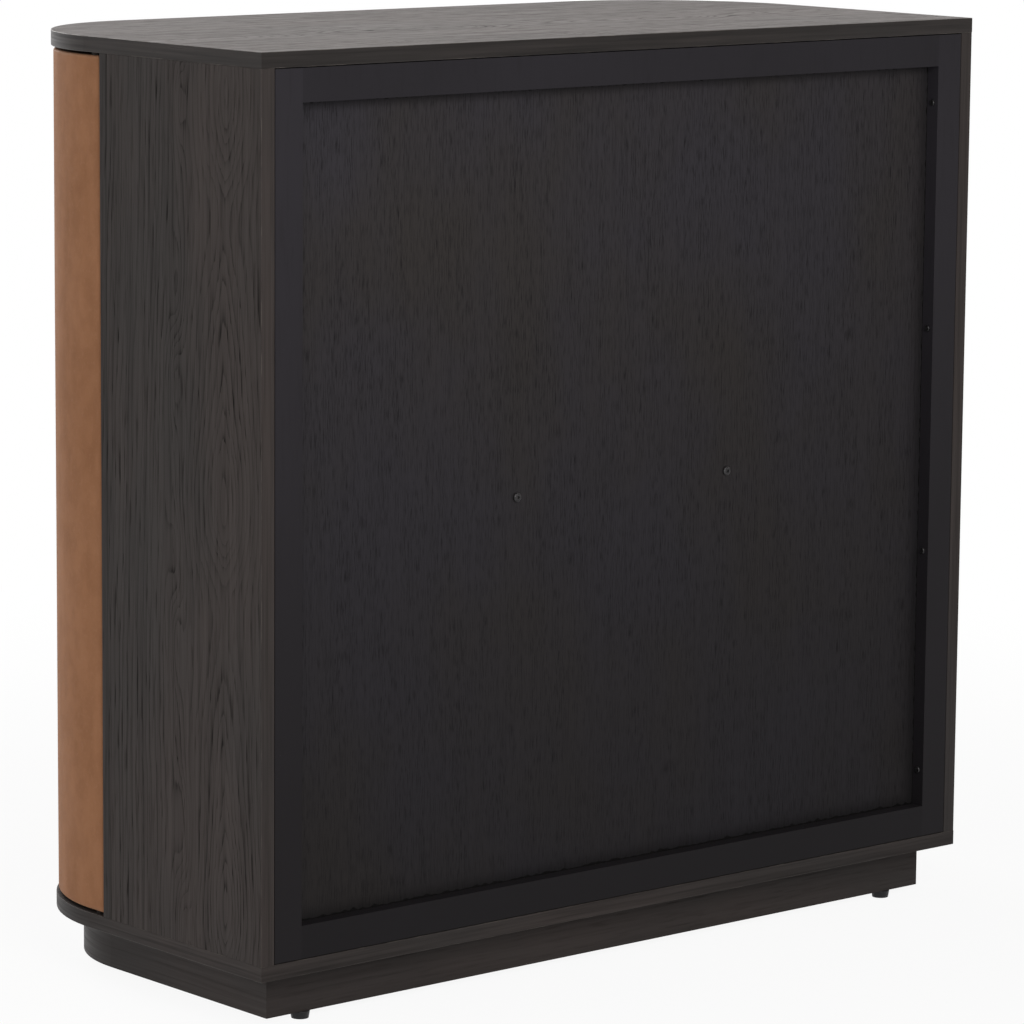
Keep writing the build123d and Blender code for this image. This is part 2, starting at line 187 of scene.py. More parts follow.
# %% A finish
class Finish:
    """The graph of one material or world, built one node at a time."""

    def __init__(self, name, library=bpy.data.materials):
        self.owner = library.new(name)
        self.owner.use_nodes = True
        self.tree = self.owner.node_tree
        self.tree.nodes.clear()

    def node(self, kind, settings=None, inputs=None, output=0):
        """Adds a node of any kind, and gives back one of its outputs."""
        made = self.tree.nodes.new(kind)
        for name, value in (settings or {}).items():
            setattr(made, name, value)
        for name, value in (inputs or {}).items():
            if isinstance(value, Wire):
                self.tree.links.new(value.socket, made.inputs[name])
            else:
                made.inputs[name].default_value = value
        return Wire(self, made.outputs[output]) if made.outputs else None

    def math(self, operation, *values):
        return self.node("ShaderNodeMath", {"operation": operation}, dict(enumerate(values)))

    def vector(self, x, y, z):
        return self.node("ShaderNodeCombineXYZ", inputs={0: x, 1: y, 2: z})

    def parts(self, vector):
        """The three parts of a vector, by axis."""
        kind = "ShaderNodeSeparateXYZ"
        return {axis: self.node(kind, inputs={0: vector}, output=axis.upper()) for axis in "xyz"}

    def point(self):
        """The place on the object, in metres."""
        return self.node("ShaderNodeTexCoord", output="Object")

    def facing(self):
        """How squarely the surface faces each axis: 1 on a face square to it, 0 on one along it."""
        direction = self.node("ShaderNodeTexCoord", output="Normal")
        return {axis: abs(part) for axis, part in self.parts(direction).items()}

    def noise(self, scale, detail=2.0, roughness=0.5, place=None):
        """Soft noise around 0.5, with so many cells to the metre along x, y and z."""
        if place is None:
            place = self.point()
        stretched = self.node("ShaderNodeVectorMath", {"operation": "MULTIPLY"}, {0: place, 1: scale})
        inputs = {"Vector": stretched, "Scale": 1.0, "Detail": detail, "Roughness": roughness}
        return self.node("ShaderNodeTexNoise", inputs=inputs)

    def mix(self, amount, first, second):
        """A colour between two colours."""
        settings = {"data_type": "RGBA", "clamp_factor": True}
        return self.node("ShaderNodeMix", settings, {0: amount, 6: first, 7: second}, output=2)

    def surface(self, height, relief, inputs):
        """Ends a material: a Principled surface whose bump is this deep, in metres."""
        bump = self.node("ShaderNodeBump", inputs={"Strength": 1.0, "Distance": relief, "Height": height})
        shader = self.node("ShaderNodeBsdfPrincipled", inputs={"Normal": bump, **inputs})
        self.node("ShaderNodeOutputMaterial", inputs={"Surface": shader})
        return self.owner


print("Finish is ready")

# %% [markdown]
# ## Colours, and putting a finish on a board
#
# A paint card gives a colour as three numbers from 0 to 255, but light adds up on another, linear scale,
# and Blender's nodes expect that one. `colour` converts. `dress` puts a finish on whole nodes of the model,
# in the material slots they already have, so their shape isn't touched.

# %% Colours and dressing
def colour(red, green, blue):
    """A colour from the 0 to 255 numbers of a paint card, as Blender's linear light."""
    def linear(step):
        part = step / 255
        return part / 12.92 if part <= 0.04045 else ((part + 0.055) / 1.055) ** 2.4

    return (linear(red), linear(green), linear(blue), 1.0)


def dress(material, *names):
    """Gives a finish to whole nodes of the model."""
    for name in names:
        for slot in nodes[name].material_slots:
            slot.material = material
    print(material.name, "on", len(names), "nodes")


print("middle grey of the card is", round(colour(128, 128, 128)[0], 3), "in linear light")

# %% [markdown]
# ## Stained oak: which way a board runs
#
# All the oak here is one finish, turned to suit each board. A board is described by the axis its grain runs
# along, the axis it spreads across and the axis it is thin in. `stretch` then gives noise long cells along
# the grain and short ones across it.

# %% Boards and their grain
Board = namedtuple("Board", "along across thin")
SIDE_BOARD = Board("z", "y", "x")
FRONT_BOARD = Board("z", "x", "y")
SLAB_BOARD = Board("x", "y", "z")
PLINTH_BOARD = Board("x", "z", "y")
SHELF_BOARD = Board("y", "x", "z")
PARTITION_BOARD = Board("y", "z", "x")


def stretch(board, across, along):
    """Cells to the metre for noise on this board."""
    return [along if axis == board.along else across for axis in "xyz"]


print("side noise, 520 cells across to 8 along:", stretch(SIDE_BOARD, 520, 8))

# %% [markdown]
# ## Stained oak: the year rings
#
# The veneer is flat-sawn. Its year rings show as tall arches over a middle line and as straight lines to
# either side of it. A new ring starts where the distance to the heart of the log passes the next whole
# ring, so the finish needs that distance at every point. It is the sideways distance to the middle line,
# bent by slow noise, plus a lean, because a tree tapers. Along the middle line the log also swells and
# shrinks: a slow climb gives arches that point up, and a quick fall closes them into an eye. A second,
# narrower line of arches can be added.

# %% Rings between a point and the heart of the log
Arches = namedtuple("Arches", "offset width lift eye length")
Log = namedtuple("Log", "centre heart lean ring arches")
EYE_TURN = 2.1  # radians from the middle of the climb down to the eye


def ring_count(finish, board, log):
    """How many year rings lie between this point and the heart of the log."""
    place = finish.parts(finish.point())
    run = place[board.along]
    bend = finish.noise(stretch(board, 4, 1.5)) - 0.5
    ripple = finish.noise(stretch(board, 34, 9)) - 0.5
    teeth = finish.noise(stretch(board, 300, 7)) - 0.5
    sideways = place[board.across] - log.centre + bend * 0.04
    distance = (sideways * sideways + log.heart**2) ** 0.5 + run * log.lean + ripple * 0.009 + teeth * 0.0045
    for arches in log.arches:
        off = (sideways - arches.offset) / arches.width
        near = 1 / ((off * off + 1) ** 2.0)
        drift = finish.noise((0, 50, 3), 1.0, place=finish.vector(0.0, arches.offset, run)) - 0.5
        turn = (run - arches.eye) * (2 * math.pi / arches.length) - EYE_TURN + drift * 1.6
        swell = turn.sine() - (turn * 2).sine() * 0.35
        distance = distance + swell * near * arches.lift
    uneven = finish.noise((55, 0, 0), 1.0, place=finish.vector(distance, 0.0, 0.0)) - 0.5
    return distance / log.ring + uneven * 1.5


def year_lines(finish, board, log):
    """The dark start of each ring: sharp on one side, fading on the other, and broken here and there."""
    year = ring_count(finish, board, log).fract()
    strength = finish.noise(stretch(board, 16, 2.4)).rise(0.36, 0.64)
    broken = finish.noise(stretch(board, 230, 12)).rise(0.3, 0.62)
    return year.rise(0.0, 0.1) * (1 - year) ** 4.2 * (0.5 + strength * 0.5) * (0.4 + broken * 0.6)


print("year rings are ready")

# %% [markdown]
# ## Stained oak: fibres, lipping, and arrises that are worn and painted lighter
#
# Between the rings lie fine fibres. The narrow edges of the boards carry edge banding, with longer fibres
# and no arches. The side panels also have a lipping: a strip of solid oak that closes the front edge, with
# a thin dark joint. An arris, the line where two faces meet, is painted lighter: partly stain rubbed thin,
# partly a painted highlight. The faces are flat and the arrises are rounded, so an arris is where the
# surface faces partly up and partly sideways.

# %% Fibres, lipping and arrises
OAK_LIGHT = colour(58, 52, 50)
OAK_COOL = colour(50, 47, 46)
OAK_PORE = colour(20, 18, 17)
# the lighter colour of the arrises: partly rubbed stain, partly a painted highlight
OAK_WORN_AND_HIGHLIGHT = colour(90, 85, 80)


def fibres(finish, board, on_face):
    """Fine fibres on the faces, long ones in the banding of the narrow edges."""
    fine = finish.noise(stretch(board, 520, 8), 3.0, 0.6)
    coarse = finish.noise(stretch(board, 150, 3))
    banding = finish.noise((260, 260, 5) if board.along == "z" else (5, 5, 260), 3.0, 0.65)
    return (fine * 0.5 + coarse * 0.5) * on_face + banding * (1 - on_face)


def add_lipping(finish, wood, streaks, edge_y):
    """Plain solid oak in front of edge_y, and a dark joint along it."""
    y = finish.parts(finish.point())["y"]
    strip = finish.mix(streaks + 0.1, OAK_COOL, OAK_PORE)
    wood = finish.mix(1 - y.rise(edge_y - 0.4 * MM, edge_y + 0.4 * MM), wood, strip)
    joint = y.rise(edge_y - 1.4 * MM, edge_y - 0.4 * MM) * (1 - y.rise(edge_y + 0.2 * MM, edge_y + 1.2 * MM))
    return finish.mix(joint * 0.7, wood, OAK_PORE)


def turning(facing):
    """1 where a surface turns from one flat face to the next."""
    return facing.rise(0.1, 0.35) * (1 - facing.rise(0.8, 0.97))


def worn_and_highlit_arris(finish, square):
    """Lighter arrises: partly rubbed stain, partly a painted highlight. Square boards have upright ones too.
    """
    facing = finish.facing()
    arris = turning(facing["z"])
    if square:
        arris = arris.largest(turning(facing["x"]))
    arris_patches = finish.noise((45, 45, 45), 3.0).rise(0.45, 0.68)
    return arris * (0.1 + arris_patches * 0.5)


print("fibres, lipping and arrises are ready")

# %% [markdown]
# ## Stained oak: the finish
#
# Now the layers go together. The stain drifts between a warm and a cool brown. Fibres, year lines and pores
# pull it towards the pore colour. Pores are short dashes, thickest in the dark start of a ring, and they
# are open, so they also dent the surface and are rougher. The sheen is kept low: the real surface is oiled,
# not lacquered.

# %% The oak finish
BLACK = (0.0, 0.0, 0.0, 1.0)


def oak(name, board, log, tone=1.0, figure=1.0, contrast=1.0, edge=0.0, wear_and_highlight=1.0,
        gloss=0.12, polish=0.5, relief=0.2, lipping=None, square=False):
    """Stained oak for one kind of board.

    Tone darkens the whole, edge darkens the banding, and the wear number strengthens the lighter arrises,
    which are partly rubbed stain and partly a painted highlight. Figure and contrast scale the year lines
    and the fibres. Gloss, polish and relief (in mm) set the surface. Lipping is the y where the front strip
    ends, and square says that the board has upright arrises.
    """
    finish = Finish(name)
    on_face = finish.facing()[board.thin].rise(0.6, 0.8)
    early = year_lines(finish, board, log) * on_face * figure
    dashes = finish.noise(stretch(board, 330, 26), 1.0).rise(0.54, 0.68)
    pores = dashes * (early * 1.2 + 0.3) * on_face
    fibre = fibres(finish, board, on_face)
    streaks = (fibre - 0.5) * (1.7 * contrast) + 0.16 + (1 - on_face) * edge

    drift = finish.noise(stretch(board, 8, 2.6), 3.0).rise(0.3, 0.7)
    wood = finish.mix(drift, OAK_LIGHT, OAK_COOL)
    wood = finish.mix(streaks + early * 0.85 + pores * (0.35 * contrast), wood, OAK_PORE)
    if lipping is not None:
        wood = add_lipping(finish, wood, streaks, lipping)
    # the arrises are painted lighter: partly rubbed stain, partly a painted highlight
    wood = finish.mix(worn_and_highlit_arris(finish, square) * wear_and_highlight, wood, OAK_WORN_AND_HIGHLIGHT)
    wood = finish.mix(1 - tone, wood, BLACK)
    inputs = {
        "Base Color": wood,
        "Roughness": early * 0.3 + pores * 0.4 + (fibre - 0.5) * 0.5 + polish,
        "Specular IOR Level": gloss,
        "Specular Tint": (1.0, 0.94, 0.91, 1.0),
    }
    return finish.surface(fibre * 0.35 - pores * 0.9 - early * 0.35, relief * MM, inputs)


print("oak is ready")

# %% [markdown]
# ## The side panels and the slabs
#
# The side panels show the strongest figure: one line of arches towards the back, with an eye at mid height,
# and a narrow one in the middle whose arches hang down. The grain of the two slabs runs across the cabinet.
# The top is the one surface that people touch and wipe, so it is a little smoother than the rest.

# %% Side panels and slabs
side_arches = [Arches(0.0, 0.056, 0.022, 0.595, 0.46), Arches(-0.082, 0.016, -0.02, 0.52, 0.31)]
side_log = Log(centre=seam_y + 0.232, heart=0.004, lean=0.03, ring=0.0088, arches=side_arches)
# square boards also get the lighter upright arrises: partly wear, partly a painted highlight
side_oak = oak("oak_side", SIDE_BOARD, side_log, lipping=seam_y + 12 * MM, square=True)
dress(side_oak, "side_panel_right", "side_panel_left")

top_arches = [Arches(0.0, 0.06, 0.02, 0.1, 0.33), Arches(0.17, 0.04, 0.016, -0.2, 0.28)]
top_log = Log(centre=0.06, heart=0.02, lean=0.02, ring=0.009, arches=top_arches)
# the top's arrises get more of the lighter colour: partly wear, partly a painted highlight
top_oak = oak("oak_top", SLAB_BOARD, top_log, edge=0.6, wear_and_highlight=1.7, gloss=0.19, polish=0.38, relief=0.11)
dress(top_oak, "top_slab")
dress(oak("oak_base", SLAB_BOARD, top_log, edge=0.2), "bottom_slab")

# %% [markdown]
# ## The plinth and the boards inside
#
# The plinth is the same oak laid on its side, so its grain runs level round the cabinet. The boards inside
# the case and the inside of the doors are plainer and a little darker, because they are only seen with a
# drawer out or a door open.

# %% Plinth and inner boards
plain_log = Log(centre=-0.3, heart=0.1, lean=0.01, ring=0.011, arches=[])
dress(oak("oak_plinth", PLINTH_BOARD, plain_log, tone=0.93, figure=0.3, contrast=0.5), "plinth")
inner_upright = oak("oak_inner_upright", PARTITION_BOARD, plain_log, tone=0.8)
dress(inner_upright, "partition_left", "partition_right", "column_dividers")
inner_flat = oak("oak_inner_flat", SHELF_BOARD, plain_log, tone=0.8)
dress(inner_flat, "middle_shelf", "drawer_webs", "corner_shelves")
door_lining = oak("oak_door_lining", SIDE_BOARD, plain_log, tone=0.8, figure=0.6)
dress(door_lining, "door_right_core", "door_left_core")

# %% [markdown]
# ## The drawer fronts
#
# The fronts of one column are cut from one sheet, top to bottom, so the arches run on from drawer to
# drawer. That comes free here: the four fronts of a column share one finish, which is read from the place
# on the cabinet, so the figure doesn't stop at the gaps. Each column has its own middle line and its own
# heights for the eyes.

# %% Drawer fronts
OFF_MIDDLE = (0.02, -0.03, 0.015)  # from the middle of a column's drawers to the middle of its arches
fronts = sorted(name for name in nodes if name.startswith("drawer_") and name.endswith("_front"))
columns = sorted({name.split("_")[1][0] for name in fronts})
for number, column in enumerate(columns):
    in_column = [name for name in fronts if name.startswith(f"drawer_{column}")]
    low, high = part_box(in_column[0])
    centre = (low.x + high.x) / 2 + OFF_MIDDLE[number % len(OFF_MIDDLE)]
    arches = [Arches(0.0, 0.04, 0.02, 0.35 + 0.2 * number, 0.27)]
    front_log = Log(centre, heart=0.012, lean=0.02, ring=0.0095, arches=arches)
    dress(oak(f"oak_front_{column}", FRONT_BOARD, front_log, square=True), *in_column)

# %% [markdown]
# ## The drawer boxes
#
# The boxes are left pale: clear-lacquered birch, close-grained and smooth. Their boards meet at right
# angles, so the finish looks at which way a face points and turns its grain along the board.

# %% Pale birch for the boxes
BIRCH = colour(196, 164, 124)
BIRCH_DARK = colour(158, 122, 84)


def birch(name):
    finish = Finish(name)
    place = finish.parts(finish.point())
    facing = finish.facing()
    along_y = 1 - facing["y"].rise(0.4, 0.6)
    upright = 1 - facing["z"].rise(0.4, 0.6)
    run = place["y"] * along_y + place["x"] * (1 - along_y)
    side = place["z"] * upright + place["x"] * (1 - upright)
    grain = finish.vector(side, 0.01, run)
    fibre = finish.noise((480, 0, 7), 3.0, 0.6, place=grain)
    bands = finish.noise((22, 0, 1.2), 3.0, place=grain).rise(0.3, 0.75)
    flecks = finish.noise((260, 300, 30), 1.0, place=grain).rise(0.64, 0.72)
    wood = finish.mix((fibre - 0.5) * 0.7 + bands * 0.45 + flecks * 0.3, BIRCH, BIRCH_DARK)
    inputs = {"Base Color": wood, "Roughness": fibre * 0.15 + 0.4, "Specular IOR Level": 0.45}
    return finish.surface(fibre - flecks * 0.4, 0.05 * MM, inputs)


dress(birch("birch_boxes"), *[name for name in nodes if name.endswith("_box")])

# %% [markdown]
# ## The black frame
#
# The frame round the back is painted, not stained: a satin black with a blue cast. Sprayed paint is never
# quite even, so there are soft clouds in its colour, a faint orange peel in the bump with the wood grain
# telling through it, and a few specks of dust. Its colour is also painted darker towards the foot: painted
# shade, standing in for the light from above that falls off down the frame. The rails get a darker copy of
# the same paint, which is painted shade as well.

# %% Satin black paint
PAINT = colour(43, 41, 45)
# the darker paint colour: for the grain, and for the painted shade towards the foot
PAINT_DEEP_AND_SHADE = colour(29, 27, 29)
PAINT_DUST = colour(74, 73, 76)


def satin_black(name, tone):
    finish = Finish(name)
    clouds = finish.noise((6, 6, 3.5), 4.0).rise(0.3, 0.7)
    peel = finish.noise((900, 900, 900))
    grain = finish.noise((300, 300, 24))
    specks = finish.noise((520, 520, 520), 1.0).rise(0.76, 0.8)
    # painted shade: the paint colour darkens towards the foot, for the light from above that falls off
    height = finish.parts(finish.point())["z"].rise(plinth_top, cad_high.z)
    paint = finish.mix(height * 0.9 + (clouds - 0.5) * 0.25, PAINT_DEEP_AND_SHADE, PAINT)
    paint = finish.mix(grain.rise(0.5, 0.8) * 0.25, paint, PAINT_DEEP_AND_SHADE)
    paint = finish.mix(specks * 0.5, paint, PAINT_DUST)
    # tone below 1 darkens the whole paint; on the rails it is painted shade
    paint = finish.mix(1 - tone, paint, BLACK)
    inputs = {"Base Color": paint, "Roughness": clouds * 0.06 + 0.46, "Specular IOR Level": 0.08}
    return finish.surface(peel * 0.5 + grain * 0.5, 0.04 * MM, inputs)


dress(satin_black("satin_black_stiles", tone=1.0), "frame_stiles")
# the rails are a darker copy of the same paint: painted shade
dress(satin_black("satin_black_rails_painted_shade", tone=0.8), "frame_rails")

# %% [markdown]
# ## The back panel
#
# Inside the frame is a thin sheet of veneer, stained nearly black. Its pores stay open under the stain, so
# it looks like rain on a dark window: short upright dashes, in bands that follow the rings. Its colour is
# painted darker in the last few centimetres next to the frame, a painted shadow in the corner of the
# recess, and darker towards the foot, a painted shade for the light that falls off downwards.

# %% Black open-pored veneer
VENEER = colour(49, 47, 51)
VENEER_WARM = colour(49, 46, 45)
# the pore colour, used for the pores and also for the painted shade and shadow
VENEER_PORE_AND_SHADE = colour(22, 21, 22)


def painted_shadow_by_frame(place):
    """Rises from 0 to 1 over the last 22 to 30 mm before the frame: the mask of a painted shadow."""
    to_side = abs(place["x"]).rise(opening_x - 0.03, opening_x)
    to_top = place["z"].rise(recess_high - 0.022, recess_high)
    to_foot = 1 - place["z"].rise(recess_low, recess_low + 0.03)
    return to_side.largest(to_top).largest(to_foot)


def open_pored_black(name):
    finish = Finish(name)
    place = finish.parts(finish.point())
    sideways = place["x"] - 0.05 + (finish.noise((3, 0, 1.1)) - 0.5) * 0.12
    from_heart = (sideways * sideways + 0.0016) ** 0.5 - place["z"] * 0.11
    band = (1 - (from_heart / 0.016).fract()) ** 1.6
    dense = finish.noise((34, 0, 5)).rise(0.35, 0.65)
    dashes = finish.noise((640, 0, 52), 3.0, 0.6).rise(0.42, 0.72)
    pores = dashes * (band * 0.3 + dense * 0.45 + 0.45)
    fibre = finish.noise((300, 0, 9), 3.0, 0.6)

    wood = finish.mix(finish.noise((4, 0, 3), 3.0).rise(0.35, 0.7), VENEER, VENEER_WARM)
    # painted shade: the veneer darkens towards the foot of the recess
    wood = finish.mix((1 - place["z"].rise(recess_low, recess_high)) * 0.5, wood, VENEER_PORE_AND_SHADE)
    wood = finish.mix(pores * 0.85 + (fibre - 0.5) * 1.1, wood, VENEER_PORE_AND_SHADE)
    # painted shadow: darker in the last few centimetres next to the frame
    wood = finish.mix(painted_shadow_by_frame(place) ** 2.0 * 0.45, wood, VENEER_PORE_AND_SHADE)
    inputs = {"Base Color": wood, "Roughness": pores * 0.2 + 0.52, "Specular IOR Level": 0.06}
    return finish.surface(fibre * 0.2 - pores, 0.16 * MM, inputs)


dress(open_pored_black("open_pored_black"), "back_panel")

# %% [markdown]
# ## The knobs
#
# The knobs are turned bronze, waxed and left to age: warm metal where hands rub it, brown patina where they
# don't. Metal takes its colour from its reflection, so the patina is a change of colour and roughness, not
# a coat.

# %% Aged bronze
BRONZE = colour(166, 132, 90)
BRONZE_PATINA = colour(84, 62, 42)


def aged_bronze(name):
    finish = Finish(name)
    patches = finish.noise((160, 160, 160), 4.0, 0.6)
    scuffs = finish.noise((900, 240, 900))
    patina = patches.rise(0.42, 0.68)
    inputs = {
        "Base Color": finish.mix(patina * 0.85, BRONZE, BRONZE_PATINA),
        "Metallic": 1.0,
        "Roughness": patina * 0.22 + scuffs.rise(0.5, 0.8) * 0.1 + 0.27,
    }
    return finish.surface(scuffs * 0.6 + patches * 0.4, 0.04 * MM, inputs)


dress(aged_bronze("aged_bronze"), *[name for name in nodes if name.endswith("_knob")])

# %% [markdown]
# ## The other small parts
#
# The door pivots are bronze too, but they are oiled and dark, hidden in the gap above and below the
# leather. The screws are blacked steel and the glides are black nylon. All three are small and dark, so one
# mottled finish with other numbers serves for each.

# %% Pivots, screws and glides
def dark_small_part(name, light, dark, metallic, roughness, gloss):
    finish = Finish(name)
    mottle = finish.noise((420, 420, 420), 3.0)
    inputs = {
        "Base Color": finish.mix(mottle.rise(0.35, 0.7), light, dark),
        "Metallic": metallic,
        "Roughness": mottle * 0.16 + roughness,
        "Specular IOR Level": gloss,
    }
    return finish.surface(mottle, 0.05 * MM, inputs)


oiled_bronze = dark_small_part("oiled_bronze", colour(34, 27, 22), colour(18, 15, 13), 0.2, 0.5, 0.1)
blacked_steel = dark_small_part("blacked_steel", colour(58, 57, 58), colour(30, 29, 30), 0.7, 0.28, 0.5)
black_nylon = dark_small_part("black_nylon", colour(28, 28, 29), colour(18, 18, 19), 0.0, 0.4, 0.25)
dress(oiled_bronze, "door_left_pivots", "door_right_pivots")
dress(blacked_steel, "screws")
dress(black_nylon, "glides")

# %% [markdown]
# ## Pieces that are swept
#
# Two kinds of piece are made here as meshes: the leather and the beads of dried glue. Both are a row of
# points that changes little by little from one end to the other, so one function serves: it joins each row
# to the next, merges the points that meet, and turns the faces outwards.

# %% Sweep rows of points into a mesh
def sweep(name, rows):
    """An object whose surface runs through rows of points."""
    mesh = bmesh.new()
    grid = [[mesh.verts.new(point) for point in row] for row in rows]
    for row, following in zip(grid, grid[1:]):
        for i in range(len(row) - 1):
            mesh.faces.new((row[i], row[i + 1], following[i + 1], following[i]))
    bmesh.ops.remove_doubles(mesh, verts=mesh.verts, dist=0.01 * MM)
    bmesh.ops.recalc_face_normals(mesh, faces=mesh.faces)
    data = bpy.data.meshes.new(name)
    mesh.to_mesh(data)
    mesh.free()
    made = bpy.data.objects.new(name, data)
    bpy.context.scene.collection.objects.link(made)
    return made


print("sweep is ready")

# %% [markdown]
# ## The leather on the doors: its shape
#
# Each door wears one hide, stretched over the bent core, glued, and turned over all four edges. The turned
# edges are soft rolls, which the sharp-edged skin of the model doesn't have, so the hide is swept anew. The
# plan of the door is a row of points on the face and a matching row on the inside. That plan is laid at
# many heights, drawn in near the top and the bottom to form the rolls. Very slow waves keep the highlight
# from looking machined.

# %% The plan of a door
EDGE_ROLL = 3.0 * MM
END_ROLL = 4.0 * MM
TURNED_IN = 18 * MM
ROLL_STEPS = 6
FLAT_STEPS = 5
ARC_STEPS = 72
leather_low, leather_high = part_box("door_right_leather")
outer_radius = leather_high.x - leather_low.x
inner_radius = outer_radius - TURNED_IN
bend_x = leather_low.x
bend_y = leather_low.y + outer_radius


def door_plan(inset):
    """Matching points on the face and the inside of the right-hand door, from the hinge end to the front."""
    outer = outer_radius - inset
    end = leather_high.y - inset
    roll = END_ROLL - inset * 0.5
    face, inside = [], []
    for step in range(ROLL_STEPS + 1):
        turn = math.radians(90) * (1 - step / ROLL_STEPS)
        face.append((bend_x + outer - roll + roll * math.cos(turn), end - roll + roll * math.sin(turn)))
        inside.append((bend_x + inner_radius, end))
    for step in range(1, FLAT_STEPS):
        y = end - END_ROLL - (end - END_ROLL - bend_y) * step / FLAT_STEPS
        face.append((bend_x + outer, y))
        inside.append((bend_x + inner_radius, y))
    for step in range(ARC_STEPS + 1):
        turn = (math.radians(90) - inset / outer) * step / ARC_STEPS
        face.append((bend_x + outer * math.cos(turn), bend_y - outer * math.sin(turn)))
        inside.append((bend_x + inner_radius * math.cos(turn), bend_y - inner_radius * math.sin(turn)))
    return face, inside


print("door plan of", len(door_plan(0.0)[0]), "points, outer radius", round(outer_radius, 4), "m")

# %% [markdown]
# ## The leather on the doors: its heights
#
# Every height has an inset: how far the face is drawn in there. It is nothing over most of the door, and
# follows a quarter circle in the last 3 mm at the top and the bottom.

# %% Heights and the hide
LEVELS = 90
HIDE_THICKNESS = 1.3 * MM
WAVE = 0.12 * MM


def heights():
    """Heights and insets from the bottom edge to the top edge."""
    turns = [math.radians(90) * step / ROLL_STEPS for step in range(ROLL_STEPS + 1)]
    roll = [(EDGE_ROLL * (1 - math.cos(turn)), EDGE_ROLL * (1 - math.sin(turn))) for turn in turns]
    low, high = leather_low.z + EDGE_ROLL, leather_high.z - EDGE_ROLL
    rising = [(leather_low.z + lift, inset) for lift, inset in roll]
    middle = [(low + (high - low) * step / LEVELS, 0.0) for step in range(1, LEVELS)]
    return rising + middle + [(leather_high.z - lift, inset) for lift, inset in reversed(roll)]


def waved(x, y, z, number):
    """A point of the face, moved in by a slow wave of at most a quarter of a millimetre."""
    out = Vector((x - bend_x, min(y - bend_y, 0.0), 0.0)).normalized()
    wave = WAVE * math.sin(9 * z + 0.11 * number) * math.sin(3.1 * z + 0.05 * number) - WAVE
    return Vector((x, y, z)) + out * wave


def inside_row(z, inset):
    """A row that lies wholly on the inside of the door."""
    inside = [Vector((x, y, z)) for x, y in door_plan(inset)[1]]
    return [inside[0], *inside, inside[-1]]


def hide_rows():
    """The rows of the right-hand hide: closed at the bottom and the top, open on the inside."""
    rows = []
    for z, inset in heights():
        face, inside = door_plan(inset)
        row = [waved(x, y, z, number) for number, (x, y) in enumerate(face)]
        rows.append([Vector((*inside[0], z)), *row, Vector((*inside[-1], z))])
    return [inside_row(*heights()[0]), *rows, inside_row(*heights()[-1])]


print("hide of", len(hide_rows()), "rows")

# %% [markdown]
# ## The leather on the doors: its finish
#
# Vegetable-tanned leather is never one colour. Broad soft patches come from the tanning, smaller clouds
# from handling, and long faint streaks from the pull of the glue-up. Close to, there are fine creases
# between cells, which a Voronoi pattern gives as the distance to the nearest cell wall. On the rolls it is
# stretched and paler.

# %% Tan leather
LEATHER = colour(154, 109, 78)
LEATHER_DARK = colour(136, 94, 65)
LEATHER_PALE = colour(160, 120, 93)


def tan_leather(name):
    finish = Finish(name)
    patches = finish.noise((16, 16, 7), 4.0, 0.55).rise(0.3, 0.72)
    clouds = finish.noise((48, 48, 36), 3.0, 0.55).rise(0.36, 0.64)
    pull = finish.noise((60, 60, 9), 3.0)
    freckles = finish.noise((210, 210, 210)).rise(0.52, 0.75)
    fine = finish.noise((1500, 1500, 1500))
    settings = {"feature": "DISTANCE_TO_EDGE"}
    cells = finish.node("ShaderNodeTexVoronoi", settings, {"Vector": finish.point(), "Scale": 720.0})
    creases = 1 - cells.rise(0.0, 0.16)
    z = finish.parts(finish.point())["z"]
    near_low = 1 - z.rise(leather_low.z, leather_low.z + 5 * MM)
    rolled = near_low.largest(z.rise(leather_high.z - 5 * MM, leather_high.z))

    hide = finish.mix(patches * 0.5 + clouds * 0.38 + (pull - 0.5) * 0.7 + 0.08, LEATHER, LEATHER_DARK)
    hide = finish.mix(freckles * 0.22, hide, LEATHER_PALE)
    hide = finish.mix(creases * 0.16, hide, LEATHER_DARK)
    hide = finish.mix(rolled * 0.55, hide, LEATHER_PALE)
    inputs = {
        "Base Color": hide,
        "Roughness": patches * 0.08 - creases * 0.06 + 0.6,
        "Specular IOR Level": 0.07,
        "Sheen Weight": 0.02,
        "Sheen Roughness": 0.45,
    }
    return finish.surface(fine * 0.25 - creases * 0.7 + pull * 0.6, 0.08 * MM, inputs)


leather = tan_leather("tan_leather")
print(leather.name, "is ready")

# %% [markdown]
# ## The leather on the doors: the two hides
#
# The left hide is the right one mirrored. A Solidify modifier gives the hide its thickness, inwards, so it
# stays inside the size of the model. Each rides its door and takes the place of the model's skin.

# %% Lay a hide on each door
for side, mirror in (("right", 1), ("left", -1)):
    rows = [[(mirror * point.x, point.y, point.z) for point in row] for row in hide_rows()]
    hide = sweep(f"door_{side}_hide", rows)
    hide.data.polygons.foreach_set("use_smooth", [True] * len(hide.data.polygons))
    hide.data.materials.append(leather)
    thicken = hide.modifiers.new("hide_thickness", "SOLIDIFY")
    thicken.thickness = HIDE_THICKNESS
    thicken.offset = -1
    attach(hide, f"door_{side}")
    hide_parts(f"door_{side}_leather")
    print(hide.name, len(hide.data.polygons), "faces")

# %% [markdown]
# ## Dried glue round the recess: the bead
#
# Where the thin panel meets the frame, glue was squeezed out and dried in a ragged dark line. A bead is a
# flat wedge in the corner between panel and frame, swept along one side of the recess, and its width
# wanders. The wandering is a sum of random waves, and the random numbers have a seed, so it comes out the
# same every time.

# %% A ragged bead of glue
BEAD_STEP = 2.5 * MM
BEAD_LIFT = 0.35 * MM
WAVES = 14
WAVE_LIMITS = ((20, 700), (0, 2 * math.pi), (0.3, 1.0))
random.seed(7)


